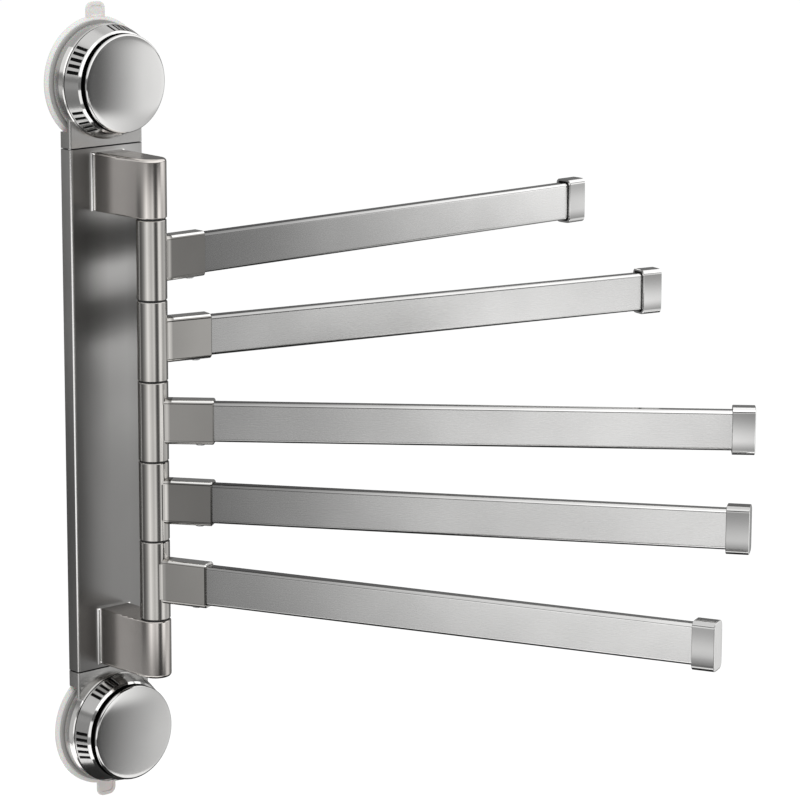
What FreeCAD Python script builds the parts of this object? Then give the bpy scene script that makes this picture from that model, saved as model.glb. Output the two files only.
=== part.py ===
import FreeCAD, Part
import math
import os

# Swing arm towel bar, hung on a wall by two twist-lock suction cups.
# Millimetres. X runs right along the wall, Y into the wall, Z up.
# The origin is the middle of the upper cup's wall face, so the wall is the plane Y = 0.
# "Off the wall" is the distance out from the wall, which is minus Y.

# ---- whole object
ARM_COUNT = 5
ARM_PITCH = 50.0
SPINDLE_OFF_WALL = 53.6
RUNNING_GAP = 0.3
SLIDING_FIT = 0.05
JOIN = 1.0

# ---- spindle and sleeve stack
SLEEVE_GAP = 1.0
SLEEVE_RADIUS = 9.4
SLEEVE_CHAMFER = 0.4
SLEEVE_HEIGHT = ARM_PITCH - SLEEVE_GAP
STACK_HALF = ARM_COUNT * ARM_PITCH / 2
SPINDLE_RADIUS = 4.0
SPINDLE_SEAT = 12.0
SPINDLE_SEAT_SPARE = 0.3
SPINDLE_CHAMFER = 0.5
SPINDLE_HOLE = SPINDLE_RADIUS + SLIDING_FIT
THRUST_WASHER_PLAY = 0.1
THRUST_WASHER_INSET = 0.6
THRUST_WASHER_RADIUS = SLEEVE_RADIUS - THRUST_WASHER_INSET
THRUST_WASHER_THICKNESS = SLEEVE_GAP - 2 * THRUST_WASHER_PLAY
BUSH_WALL = 1.55
BUSH_RADIUS = SPINDLE_HOLE + BUSH_WALL
BUSH_LENGTH = 12.0
BUSH_SET_IN = 0.3
BUSH_PRESS = 0.02

# ---- brackets and their screws
BRACKET_HEIGHT = 36.5
BRACKET_INNER = STACK_HALF + SLEEVE_GAP / 2
BRACKET_OUTER = BRACKET_INNER + BRACKET_HEIGHT
BRACKET_MIDDLE = BRACKET_INNER + BRACKET_HEIGHT / 2
BRACKET_NOSE_PROUD = 0.3
BRACKET_NOSE_RADIUS = SLEEVE_RADIUS + BRACKET_NOSE_PROUD
BRACKET_SPREAD = 1.5
BRACKET_ROOT_HALF = BRACKET_NOSE_RADIUS + BRACKET_SPREAD
BRACKET_FLANGE_LEDGE = 1.9
BRACKET_FLANGE_HALF = BRACKET_ROOT_HALF + BRACKET_FLANGE_LEDGE
BRACKET_FLANGE_THICKNESS = 1.7
BRACKET_FLANGE_ROUND = 1.3
BRACKET_SEAM_ROUND = 1.0
BRACKET_END_ROUND = 2.2
SCREW_SPACING = BRACKET_HEIGHT / 2
SCREW_HEIGHTS = (BRACKET_MIDDLE - SCREW_SPACING / 2, BRACKET_MIDDLE + SCREW_SPACING / 2)
SCREW_RADIUS = 2.0
SCREW_HEAD_RADIUS = 3.8
SCREW_HEAD_HEIGHT = 2.4
SCREW_BITE = 11.0
SCREW_HOLE_SPARE = 1.0
SCREW_HOLE_CLEARANCE = 0.2
SCREW_SLOT_WIDTH = 1.0
SCREW_SLOT_LENGTH = 4.4
SCREW_SLOT_DEPTH = 1.2

# ---- backplate, a channel with its open side to the wall
PLATE_END_MARGIN = 2.5
PLATE_HALF = BRACKET_OUTER + PLATE_END_MARGIN
PLATE_WIDTH = 55.5
PLATE_SIDE = PLATE_WIDTH / 2
PLATE_BACK = 1.0
PLATE_FRONT = 10.5
PLATE_WALL = 1.5
PLATE_RETURN = 3.0
PLATE_EDGE_ROUND = 1.2

# ---- end housings
SEAM = 0.5
HOUSING_RADIUS = 35.2
HOUSING_WALL = 2.6
HOUSING_BORE = HOUSING_RADIUS - HOUSING_WALL
HOUSING_NECK = 4.9
HOUSING_BACK = 3.6
HOUSING_FRONT = 14.0
HOUSING_RIM_CHAMFER = 0.6
STUB_LENGTH = 10.0
WEB_THICKNESS = 2.3
WEB_BACK = PLATE_FRONT - WEB_THICKNESS
COLLAR_RADIUS = 11.0
COLLAR_HEIGHT = 2.7
COLLAR_TOP = PLATE_FRONT + COLLAR_HEIGHT
STUD_HOLE_CLEARANCE = 0.3
TAB_NOTCH_FRONT = 9.4
TONGUE_SIDE_GAP = 1.75
TONGUE_WIDTH = PLATE_WIDTH - 2 * (PLATE_WALL + TONGUE_SIDE_GAP)
TONGUE_END_MARGIN = 4.25
TONGUE_LENGTH = PLATE_HALF - SCREW_HEIGHTS[0] + TONGUE_END_MARGIN
TONGUE_THICKNESS = 2.6
TONGUE_ROOT = 4.0
CUP_TO_PLATE = HOUSING_RADIUS + HOUSING_NECK
CUP_SPACING = 2 * (PLATE_HALF + CUP_TO_PLATE)
MID_HEIGHT = -CUP_SPACING / 2

# ---- pressure rings
PRESSURE_PROUD = 1.3
PRESSURE_RADIUS = HOUSING_RADIUS + PRESSURE_PROUD
SPIGOT_CLEARANCE = 0.1
SPIGOT_RADIUS = HOUSING_BORE - SPIGOT_CLEARANCE
SPIGOT_WALL = 2.1
PRESSURE_INNER = SPIGOT_RADIUS - SPIGOT_WALL

# ---- suction cups
CUP_PROUD = 2.5
CUP_RADIUS = PRESSURE_RADIUS + CUP_PROUD
CUP_EDGE = 1.2
CUP_BEVEL = 1.8
CUP_RIM = 2.0
CUP_CONE_INSET = 6.4
CUP_CONE_FOOT = PRESSURE_INNER - CUP_CONE_INSET
CUP_BOSS_RADIUS = 16.0
CUP_BOSS_TOP = 6.6
CUP_WELL_FLOOR = 3.2
CUP_WELL_CLEARANCE = 0.4
TAB_WIDTH = 13.8
TAB_NOTCH_GAP = 0.6
TAB_NOTCH_WIDTH = TAB_WIDTH + 2 * TAB_NOTCH_GAP
TAB_PROUD = 8.6
TAB_ROOT = 3.0
TAB_REACH = CUP_RADIUS + TAB_PROUD
TAB_INSIDE = CUP_RADIUS - TAB_ROOT
TAB_THICKNESS = 1.6
TAB_CORNER = 4.5
TAB_BORDER = 2.2
TAB_SUNK = 0.5

# ---- twist-lock studs
STUD_RADIUS = 5.0
STUD_FLANGE_RADIUS = 9.0
STUD_FLANGE_THICKNESS = 1.9
STUD_SEAT_GAP = 0.1
STUD_TOP = 22.0
STUD_CHAMFER = 0.8
THREAD_HOLE = STUD_RADIUS + SLIDING_FIT
WASHER_THICKNESS = 0.8

# ---- twist knobs
KNOB_BACK = HOUSING_FRONT + RUNNING_GAP
KNOB_INSET = 0.4
KNOB_BACK_RADIUS = HOUSING_RADIUS - KNOB_INSET
KNOB_BACK_CHAMFER = 0.8
KNOB_SIDE_DEPTH = 10.1
KNOB_LIP_BACK = KNOB_BACK + KNOB_SIDE_DEPTH
KNOB_TAPER = 3.2
KNOB_LIP_RADIUS = KNOB_BACK_RADIUS - KNOB_TAPER
KNOB_BEVEL_DEPTH = 1.2
KNOB_FRONT = KNOB_LIP_BACK + KNOB_BEVEL_DEPTH
KNOB_BEVEL_WIDTH = 1.3
KNOB_FRONT_RADIUS = KNOB_LIP_RADIUS - KNOB_BEVEL_WIDTH
KNOB_SHELL = 2.6
KNOB_FRONT_WALL = 2.2
KNOB_HUB_RADIUS = 9.0
KNOB_RIB_THICKNESS = 1.8
KNOB_RIB_SET_IN = 1.0
KNOB_RIB_COUNT = 5
KNOB_RIB_TURN = 54.0
GRIP_GROUPS = 5
GRIPS_PER_GROUP = 5
GRIP_STEP = 6.9
GRIP_RADIUS = 1.15
GRIP_DEPTH = 0.75
GRIP_END = 1.0
GRIP_LIP_END = 0.5
UPPER_GRIP_ANGLE = 152.0
LOWER_GRIP_ANGLE = 8.0

# ---- face discs
FACE_INSET = 0.1
FACE_RADIUS = KNOB_FRONT_RADIUS - FACE_INSET
FACE_GAP = 3.8
FACE_BACK = KNOB_FRONT + FACE_GAP
FACE_EDGE_DEPTH = 1.6
FACE_EDGE_TOP = FACE_BACK + FACE_EDGE_DEPTH
FACE_EDGE_ROUND = 1.3
FACE_OVERHANG = 2.6
FACE_SPIGOT_RADIUS = FACE_RADIUS - FACE_OVERHANG
FACE_SPIGOT_WALL = 2.2
FACE_DOME = 0.8
FACE_SKIN = 1.8
FACE_PIN_RADIUS = 1.5
FACE_PIN_CIRCLE = 19.0
FACE_PIN_COUNT = 3
FACE_PIN_PROUD = 0.6

# ---- arms, with their angles from the X axis, top arm first
ARM_ANGLES = (0.4, -12.6, -45.7, -53.4, -66.2)
BAR_HEIGHT = 24.7
BAR_THICKNESS = 9.0
BAR_WALL = 1.0
BAR_CORNER = 2.2
BAR_CLEARANCE = 0.1
BAR_START = 19.0
BAR_END_SPARE = 1.0
SOCKET_GRIP = 18.8
SOCKET_END = BAR_START + SOCKET_GRIP
SOCKET_CHEEK = 1.5
SOCKET_THICKNESS = BAR_THICKNESS + 2 * SOCKET_CHEEK
SOCKET_ROOF = 1.65
SOCKET_HEIGHT = BAR_HEIGHT + 2 * SOCKET_ROOF
SOCKET_EDGE_ROUND = 2.8
SOCKET_ROOT_ROUND = 3.0
SOCKET_END_CHAMFER = 0.7
CAP_START = 352.9
CAP_LENGTH = 14.4
CAP_END = CAP_START + CAP_LENGTH
CAP_ROOF = 2.35
CAP_HEIGHT = BAR_HEIGHT + 2 * CAP_ROOF
CAP_CHEEK = 2.3
CAP_THICKNESS = BAR_THICKNESS + 2 * CAP_CHEEK
CAP_CORNER = 4.0
CAP_END_WALL = 4.0
CAP_EDGE_ROUND = 0.9
BAR_END = CAP_END - CAP_END_WALL - BAR_CLEARANCE
RIVET_SET_IN = 10.0
RIVET_AT = BAR_START + RIVET_SET_IN
RIVET_RADIUS = 1.6
RIVET_HEAD_RADIUS = 3.0
RIVET_HEAD_HEIGHT = 0.9
RIVET_HEAD_ROUND = 0.7
RIVET_TAIL_RADIUS = 2.2
RIVET_TAIL_HEIGHT = 0.9


def point(x, off_wall, z):
    return FreeCAD.Vector(x, -off_wall, z)


def block(x_from, x_to, off_from, off_to, z_from, z_to):
    """A box given by its limits, with the depth counted off the wall."""
    size = (x_to - x_from, off_to - off_from, z_to - z_from)
    return Part.makeBox(*size, point(x_from, off_to, z_from))


def turned(outline):
    """Turns an outline of (radius, off the wall) points about the Y axis."""
    corners = [point(radius, off_wall, 0) for radius, off_wall in outline]
    face = Part.Face(Part.makePolygon(corners + corners[:1]))
    return face.revolve(FreeCAD.Vector(0, 0, 0), FreeCAD.Vector(0, 1, 0), 360)


def disc(radius, off_from, off_to, x=0.0, z=0.0):
    """A round rod along Y between two distances off the wall."""
    return Part.makeCylinder(radius, off_to - off_from, point(x, off_from, z), point(0, 1, 0))


def upright(radius, z_from, z_to, hole=0.0):
    """A round rod, or a tube, along Z on the Z axis."""
    height = z_to - z_from
    rod = Part.makeCylinder(radius, height, FreeCAD.Vector(0, 0, z_from))
    if hole:
        rod = rod.cut(Part.makeCylinder(hole, height, FreeCAD.Vector(0, 0, z_from)))
    return rod


def soft_bar(x_from, x_to, thickness, height, corner):
    """A bar along X with a rounded rectangle as its section."""
    side = thickness / 2
    top = height / 2
    bar = Part.makeBox(x_to - x_from, thickness, height, FreeCAD.Vector(x_from, -side, -top))
    long_edges = [edge for edge in bar.Edges if abs(edge.BoundBox.XLength - (x_to - x_from)) < 0.01]
    return bar.makeFillet(corner, long_edges)


def edges_at(shape, test):
    """The edges of a shape whose every end passes the test."""
    return [edge for edge in shape.Edges if all(test(end.Point) for end in edge.Vertexes)]


def moved(shape, x, y, z):
    copy = shape.copy()
    copy.translate(FreeCAD.Vector(x, y, z))
    return copy


def flipped(shape):
    """The shape turned upside down about the Y axis, for the lower end."""
    copy = shape.copy()
    copy.rotate(FreeCAD.Vector(0, 0, 0), FreeCAD.Vector(0, 1, 0), 180)
    return copy


def save(name, *solids):
    shape = solids[0] if len(solids) == 1 else Part.makeCompound(list(solids))
    for solid in shape.Solids:
        if not solid.isValid():
            raise ValueError(name + " is not a sound solid")
    shape.exportStep("parts/" + name + ".step")


def make_plate():
    """The channel about its own middle: front, two sides and a return along each side."""
    plate = block(-PLATE_SIDE, PLATE_SIDE, PLATE_BACK, PLATE_FRONT, -PLATE_HALF, PLATE_HALF)
    corners = edges_at(plate, lambda end: abs(end.y + PLATE_FRONT) < 0.01)
    long_corners = [edge for edge in corners if edge.BoundBox.ZLength > 1]
    plate = plate.makeFillet(PLATE_EDGE_ROUND, long_corners)
    inside = PLATE_SIDE - PLATE_WALL
    mouth = inside - PLATE_RETURN
    back = PLATE_BACK + PLATE_WALL
    front = PLATE_FRONT - PLATE_WALL
    plate = plate.cut(block(-inside, inside, back, front, -PLATE_HALF, PLATE_HALF))
    plate = plate.cut(block(-mouth, mouth, PLATE_BACK, back, -PLATE_HALF, PLATE_HALF))
    for height in SCREW_HEIGHTS:
        for way in (-1, 1):
            hole = disc(SCREW_RADIUS + SCREW_HOLE_CLEARANCE, front, PLATE_FRONT, z=way * height)
            plate = plate.cut(hole)
    return plate


def make_housing():
    """The upper end housing about the upper cup's middle: stub, tongue, web and ring."""
    plate_end = PLATE_HALF - CUP_SPACING / 2
    foot = plate_end + SEAM
    inside = PLATE_SIDE - PLATE_WALL
    stub = block(-PLATE_SIDE, PLATE_SIDE, PLATE_BACK, PLATE_FRONT, foot, foot + STUB_LENGTH)
    web = block(-PLATE_SIDE, PLATE_SIDE, WEB_BACK, PLATE_FRONT, foot, 0)
    body = stub.fuse(web).removeSplitter()
    corners = edges_at(body, lambda end: abs(end.y + PLATE_FRONT) < 0.01)
    long_corners = [edge for edge in corners if edge.BoundBox.ZLength > 1]
    body = body.makeFillet(PLATE_EDGE_ROUND, long_corners)
    body = body.cut(block(-inside, inside, PLATE_BACK, WEB_BACK, foot, foot + STUB_LENGTH))
    side = TONGUE_WIDTH / 2
    front = PLATE_FRONT - PLATE_WALL
    back = front - TONGUE_THICKNESS
    tongue = block(-side, side, back, front, plate_end - TONGUE_LENGTH, foot + TONGUE_ROOT)
    body = body.fuse(tongue)
    rounded = HOUSING_RIM_CHAMFER
    outline = [(0, WEB_BACK), (HOUSING_BORE, WEB_BACK), (HOUSING_BORE, HOUSING_BACK)]
    outline += [(HOUSING_RADIUS - rounded, HOUSING_BACK), (HOUSING_RADIUS, HOUSING_BACK + rounded)]
    outline += [(HOUSING_RADIUS, HOUSING_FRONT - rounded), (HOUSING_RADIUS - rounded, HOUSING_FRONT)]
    outline += [(HOUSING_BORE, HOUSING_FRONT), (HOUSING_BORE, PLATE_FRONT)]
    outline += [(COLLAR_RADIUS, PLATE_FRONT), (COLLAR_RADIUS, COLLAR_TOP), (0, COLLAR_TOP)]
    body = body.fuse(turned(outline)).removeSplitter()
    body = body.cut(disc(STUD_RADIUS + STUD_HOLE_CLEARANCE, WEB_BACK, COLLAR_TOP))
    half = TAB_NOTCH_WIDTH / 2
    notch_foot = HOUSING_BORE - HOUSING_WALL
    notch = block(-half, half, HOUSING_BACK, TAB_NOTCH_FRONT, notch_foot, HOUSING_RADIUS + JOIN)
    web_stays = disc(HOUSING_BORE, WEB_BACK, PLATE_FRONT)
    body = body.cut(notch.cut(web_stays))
    for height in SCREW_HEIGHTS:
        hole = disc(SCREW_RADIUS + SCREW_HOLE_CLEARANCE, back, front, z=height - CUP_SPACING / 2)
        body = body.cut(hole)
    return body


def make_cup():
    """The suction cup with its pull tab, pressed flat on the wall."""
    well = STUD_FLANGE_RADIUS + CUP_WELL_CLEARANCE
    bevel_foot = CUP_RADIUS - CUP_BEVEL
    outline = [(0, 0), (CUP_RADIUS, 0), (CUP_RADIUS, CUP_EDGE), (bevel_foot, CUP_RIM)]
    outline += [(CUP_CONE_FOOT, CUP_RIM), (CUP_BOSS_RADIUS, CUP_BOSS_TOP), (well, CUP_BOSS_TOP)]
    outline += [(well, CUP_WELL_FLOOR), (0, CUP_WELL_FLOOR)]
    cup = turned(outline)
    half = TAB_WIDTH / 2
    tab = block(-half, half, 0, TAB_THICKNESS, TAB_INSIDE, TAB_REACH)
    tips = edges_at(tab, lambda end: abs(end.z - TAB_REACH) < 0.01)
    tab = tab.makeFillet(TAB_CORNER, [edge for edge in tips if edge.BoundBox.YLength > 1])
    inner = half - TAB_BORDER
    sunk_top = TAB_REACH - TAB_BORDER
    sunk = block(-inner, inner, TAB_THICKNESS - TAB_SUNK, TAB_THICKNESS, CUP_RADIUS, sunk_top)
    tips = edges_at(sunk, lambda end: abs(end.z - sunk_top) < 0.01)
    sunk_corner = TAB_CORNER - TAB_BORDER
    sunk = sunk.makeFillet(sunk_corner, [edge for edge in tips if edge.BoundBox.YLength > 0.1])
    return cup.fuse(tab).removeSplitter().cut(sunk)


def make_pressure_ring():
    """The flange on the cup's rim, with a spigot up to the housing's web."""
    outline = [(PRESSURE_INNER, CUP_RIM), (PRESSURE_RADIUS, CUP_RIM), (PRESSURE_RADIUS, HOUSING_BACK)]
    outline += [(SPIGOT_RADIUS, HOUSING_BACK), (SPIGOT_RADIUS, WEB_BACK), (PRESSURE_INNER, WEB_BACK)]
    return turned(outline)


def make_stud():
    """The stud with its flange in the cup's well, in the knob's open position."""
    foot = CUP_WELL_FLOOR + STUD_SEAT_GAP
    shoulder = foot + STUD_FLANGE_THICKNESS
    outline = [(0, foot), (STUD_FLANGE_RADIUS, foot), (STUD_FLANGE_RADIUS, shoulder)]
    outline += [(STUD_RADIUS, shoulder), (STUD_RADIUS, STUD_TOP - STUD_CHAMFER)]
    outline += [(STUD_RADIUS - STUD_CHAMFER, STUD_TOP), (0, STUD_TOP)]
    return turned(outline)


def make_slip_washer():
    """The slip washer between the housing's collar and the knob."""
    inner = STUD_RADIUS + STUD_HOLE_CLEARANCE
    top = COLLAR_TOP + WASHER_THICKNESS
    return disc(COLLAR_RADIUS, COLLAR_TOP, top).cut(disc(inner, COLLAR_TOP, top))


def pin_places():
    steps = [math.radians(90 + 360 * n / FACE_PIN_COUNT) for n in range(FACE_PIN_COUNT)]
    return [(FACE_PIN_CIRCLE * math.cos(a), FACE_PIN_CIRCLE * math.sin(a)) for a in steps]


def make_knob(grip_angle):
    """The hollow conical knob with hub, ribs, holes for the disc's pins and grip grooves."""
    slope = (KNOB_BACK_RADIUS - KNOB_LIP_RADIUS) / (KNOB_LIP_BACK - KNOB_BACK - KNOB_BACK_CHAMFER)
    wall_back = KNOB_FRONT - KNOB_FRONT_WALL
    inner_back = KNOB_BACK_RADIUS - KNOB_SHELL
    inner_front = inner_back - slope * (wall_back - KNOB_BACK)
    outline = [(THREAD_HOLE, KNOB_BACK), (KNOB_HUB_RADIUS, KNOB_BACK), (KNOB_HUB_RADIUS, wall_back)]
    outline += [(inner_front, wall_back), (inner_back, KNOB_BACK)]
    outline += [(KNOB_BACK_RADIUS - KNOB_BACK_CHAMFER, KNOB_BACK)]
    outline += [(KNOB_BACK_RADIUS, KNOB_BACK + KNOB_BACK_CHAMFER)]
    outline += [(KNOB_LIP_RADIUS, KNOB_LIP_BACK), (KNOB_FRONT_RADIUS, KNOB_FRONT)]
    outline += [(THREAD_HOLE, KNOB_FRONT)]
    knob = turned(outline)
    rib_reach = inner_front + KNOB_SHELL / 4
    rib_back = KNOB_BACK + KNOB_RIB_SET_IN
    half = KNOB_RIB_THICKNESS / 2
    for n in range(KNOB_RIB_COUNT):
        rib = block(KNOB_HUB_RADIUS - JOIN, rib_reach, rib_back, wall_back, -half, half)
        rib.rotate(point(0, 0, 0), point(0, 1, 0), KNOB_RIB_TURN + 360 * n / KNOB_RIB_COUNT)
        knob = knob.fuse(rib)
    knob = knob.removeSplitter()
    for x, z in pin_places():
        knob = knob.cut(disc(FACE_PIN_RADIUS + SLIDING_FIT, wall_back, KNOB_FRONT, x, z))
    grip_from = KNOB_BACK + KNOB_BACK_CHAMFER + GRIP_END
    grip_to = KNOB_LIP_BACK - GRIP_LIP_END
    sink = GRIP_RADIUS - GRIP_DEPTH
    radius_from = KNOB_BACK_RADIUS - slope * GRIP_END + sink
    start = point(radius_from, grip_from, 0)
    along = point(-slope, 1, 0)
    length = (grip_to - grip_from) * math.hypot(slope, 1)
    grips = []
    for group in range(GRIP_GROUPS):
        for n in range(GRIPS_PER_GROUP):
            turn = grip_angle + 360 * group / GRIP_GROUPS + GRIP_STEP * (n - (GRIPS_PER_GROUP - 1) / 2)
            grip = Part.makeCylinder(GRIP_RADIUS, length, start, along)
            grip.rotate(point(0, 0, 0), point(0, 1, 0), turn)
            grips.append(grip)
    return knob.cut(grips)


def make_face_disc():
    """The domed disc on a narrower spigot, with three pins into the knob."""
    rim = FACE_RADIUS
    inner = FACE_SPIGOT_RADIUS - FACE_SPIGOT_WALL
    flat_from = FACE_EDGE_TOP - FACE_EDGE_ROUND
    bend = FACE_EDGE_ROUND * math.sqrt(0.5)
    dome_rim = rim - FACE_EDGE_ROUND
    edge_bend = point(dome_rim + bend, flat_from + bend, 0)
    ball = (dome_rim ** 2 + FACE_DOME ** 2) / (2 * FACE_DOME)
    dome_mid_drop = ball - math.sqrt(ball ** 2 - (dome_rim / 2) ** 2)
    dome_mid = point(dome_rim / 2, FACE_EDGE_TOP + FACE_DOME - dome_mid_drop, 0)
    under = FACE_EDGE_TOP - FACE_SKIN
    corners = [point(0, FACE_EDGE_TOP + FACE_DOME, 0), point(0, under, 0), point(inner, under, 0)]
    corners += [point(inner, KNOB_FRONT, 0), point(FACE_SPIGOT_RADIUS, KNOB_FRONT, 0)]
    corners += [point(FACE_SPIGOT_RADIUS, FACE_BACK, 0), point(rim, FACE_BACK, 0)]
    corners += [point(rim, flat_from, 0)]
    sides = [Part.makeLine(a, b) for a, b in zip(corners, corners[1:])]
    edge_top = point(dome_rim, FACE_EDGE_TOP, 0)
    sides.append(Part.Arc(corners[-1], edge_bend, edge_top).toShape())
    sides.append(Part.Arc(edge_top, dome_mid, corners[0]).toShape())
    face = Part.Face(Part.Wire(sides))
    body = face.revolve(FreeCAD.Vector(0, 0, 0), FreeCAD.Vector(0, 1, 0), 360)
    pin_end = KNOB_FRONT - KNOB_FRONT_WALL - FACE_PIN_PROUD
    for x, z in pin_places():
        body = body.fuse(disc(FACE_PIN_RADIUS, pin_end, under + FACE_SKIN / 4, x, z))
    return body.removeSplitter()


def bracket_outline():
    """The bracket seen from above: sides that draw in on long arcs and run smoothly round the nose."""
    reach = SPINDLE_OFF_WALL - PLATE_FRONT
    nose = BRACKET_NOSE_RADIUS
    root = BRACKET_ROOT_HALF
    side_radius = (reach**2 + root**2 - nose**2) / (2 * BRACKET_SPREAD)
    tilt = math.asin(reach / (side_radius - nose))
    half_x = root - side_radius * (1 - math.cos(tilt / 2))
    half_off = PLATE_FRONT + side_radius * math.sin(tilt / 2)
    meet_x = nose * math.cos(tilt)
    meet_off = SPINDLE_OFF_WALL + nose * math.sin(tilt)
    left_root = point(-root, PLATE_FRONT, BRACKET_INNER)
    left_half = point(-half_x, half_off, BRACKET_INNER)
    left_meet = point(-meet_x, meet_off, BRACKET_INNER)
    tip = point(0, SPINDLE_OFF_WALL + nose, BRACKET_INNER)
    right_meet = point(meet_x, meet_off, BRACKET_INNER)
    right_half = point(half_x, half_off, BRACKET_INNER)
    right_root = point(root, PLATE_FRONT, BRACKET_INNER)
    sides = [Part.Arc(left_root, left_half, left_meet).toShape()]
    sides.append(Part.Arc(left_meet, tip, right_meet).toShape())
    sides.append(Part.Arc(right_meet, right_half, right_root).toShape())
    sides.append(Part.makeLine(right_root, left_root))
    return Part.Face(Part.Wire(sides))


def make_bracket():
    """The upper bracket about the plate's middle height, with its flange on the plate."""
    flange_side = BRACKET_FLANGE_HALF
    flange_top = PLATE_FRONT + BRACKET_FLANGE_THICKNESS
    heights = (BRACKET_INNER, BRACKET_OUTER)
    body = bracket_outline().extrude(FreeCAD.Vector(0, 0, BRACKET_HEIGHT))
    rims = [edge for edge in body.Edges if edge.BoundBox.ZLength < 0.01]
    rims = [edge for edge in rims if edge.BoundBox.YMin < -PLATE_FRONT - 0.01]
    ends = [edge for edge in rims if abs(edge.BoundBox.ZMin - BRACKET_OUTER) < 0.01]
    body = body.makeFillet(BRACKET_END_ROUND, ends)
    rims = [edge for edge in body.Edges if edge.BoundBox.ZLength < 0.01]
    rims = [edge for edge in rims if edge.BoundBox.YMin < -PLATE_FRONT - 0.01]
    seams = [edge for edge in rims if abs(edge.BoundBox.ZMin - BRACKET_INNER) < 0.01]
    body = body.makeFillet(BRACKET_SEAM_ROUND, seams)
    flange = block(-flange_side, flange_side, PLATE_FRONT, flange_top, *heights)
    flange_rim = edges_at(flange, lambda end: abs(end.y + flange_top) < 0.01)
    flange = flange.makeFillet(BRACKET_FLANGE_ROUND, flange_rim)
    body = body.fuse(flange).removeSplitter()
    seat = upright(SPINDLE_HOLE, BRACKET_INNER, BRACKET_INNER + SPINDLE_SEAT + SPINDLE_SEAT_SPARE)
    body = body.cut(moved(seat, 0, -SPINDLE_OFF_WALL, 0))
    for height in SCREW_HEIGHTS:
        hole = disc(SCREW_RADIUS, PLATE_FRONT, PLATE_FRONT + SCREW_BITE + SCREW_HOLE_SPARE, z=height)
        body = body.cut(hole)
    return body


def make_bracket_screw():
    """A cross-head screw, its head on the tongue behind the plate."""
    under_head = PLATE_FRONT - PLATE_WALL - TONGUE_THICKNESS
    head = disc(SCREW_HEAD_RADIUS, under_head - SCREW_HEAD_HEIGHT, under_head)
    screw = head.fuse(disc(SCREW_RADIUS, under_head, PLATE_FRONT + SCREW_BITE)).removeSplitter()
    half = SCREW_SLOT_WIDTH / 2
    reach = SCREW_SLOT_LENGTH / 2
    slot_from = under_head - SCREW_HEAD_HEIGHT
    slot_to = slot_from + SCREW_SLOT_DEPTH
    cross = block(-half, half, slot_from, slot_to, -reach, reach)
    cross = cross.fuse(block(-reach, reach, slot_from, slot_to, -half, half))
    return screw.cut(cross)


def make_spindle():
    half = BRACKET_INNER + SPINDLE_SEAT
    rod = upright(SPINDLE_RADIUS, -half, half)
    ends = [edge for edge in rod.Edges if edge.BoundBox.ZLength < 0.01]
    return rod.makeChamfer(SPINDLE_CHAMFER, ends)


def make_hub():
    """Sleeve and socket in one casting, about the sleeve's middle, pointing along X."""
    half = SLEEVE_HEIGHT / 2
    sleeve = upright(SLEEVE_RADIUS, -half, half)
    rims = [edge for edge in sleeve.Edges if edge.BoundBox.ZLength < 0.01]
    sleeve = sleeve.makeChamfer(SLEEVE_CHAMFER, rims)
    socket = soft_bar(0, SOCKET_END, SOCKET_THICKNESS, SOCKET_HEIGHT, SOCKET_EDGE_ROUND)
    rim = edges_at(socket, lambda end: abs(end.x - SOCKET_END) < 0.01)
    socket = socket.makeChamfer(SOCKET_END_CHAMFER, rim)
    side = SOCKET_THICKNESS / 2
    reach = SLEEVE_RADIUS + SOCKET_ROOT_ROUND
    centre_y = side + SOCKET_ROOT_ROUND
    centre_x = math.sqrt(reach ** 2 - centre_y ** 2)
    share = SLEEVE_RADIUS / reach
    on_socket = FreeCAD.Vector(centre_x, side, 0)
    on_sleeve = FreeCAD.Vector(centre_x * share, centre_y * share, 0)
    low = math.atan2(on_sleeve.y - centre_y, on_sleeve.x - centre_x)
    bend = (low - math.pi / 2) / 2
    middle_x = centre_x + SOCKET_ROOT_ROUND * math.cos(bend)
    middle_y = centre_y + SOCKET_ROOT_ROUND * math.sin(bend)
    middle = FreeCAD.Vector(middle_x, middle_y, 0)
    axis_point = FreeCAD.Vector(0, 0, 0)
    sides = [Part.makeLine(axis_point, on_socket)]
    sides.append(Part.Arc(on_socket, middle, on_sleeve).toShape())
    sides.append(Part.makeLine(on_sleeve, axis_point))
    web_top = SOCKET_HEIGHT / 2 - SOCKET_EDGE_ROUND
    web = Part.Face(Part.Wire(sides)).extrude(FreeCAD.Vector(0, 0, 2 * web_top))
    web.translate(FreeCAD.Vector(0, 0, -web_top))
    other_web = web.mirror(axis_point, FreeCAD.Vector(0, 1, 0))
    hub = sleeve.fuse([socket, web, other_web]).removeSplitter()
    hub = hub.cut(upright(BUSH_RADIUS, -half, half))
    play = 2 * BAR_CLEARANCE
    pocket_foot = BAR_START - BAR_END_SPARE
    pocket = soft_bar(pocket_foot, SOCKET_END, BAR_THICKNESS + play, BAR_HEIGHT + play, BAR_CORNER)
    hub = hub.cut(pocket)
    return hub.cut(rivet_hole())


def rivet_hole():
    """What the rivet's hole takes from the socket's underside and from the bar."""
    hole = upright(RIVET_RADIUS + SLIDING_FIT, -SOCKET_HEIGHT / 2, -BAR_HEIGHT / 2 + BAR_WALL)
    return moved(hole, RIVET_AT, 0, 0)


def make_bar():
    """The rectangular tube, from inside its socket to inside its cap."""
    bar = soft_bar(BAR_START, BAR_END, BAR_THICKNESS, BAR_HEIGHT, BAR_CORNER)
    inner_thickness = BAR_THICKNESS - 2 * BAR_WALL
    inner_height = BAR_HEIGHT - 2 * BAR_WALL
    inner_corner = BAR_CORNER - BAR_WALL
    bar = bar.cut(soft_bar(BAR_START, BAR_END, inner_thickness, inner_height, inner_corner))
    return bar.cut(rivet_hole())


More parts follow.
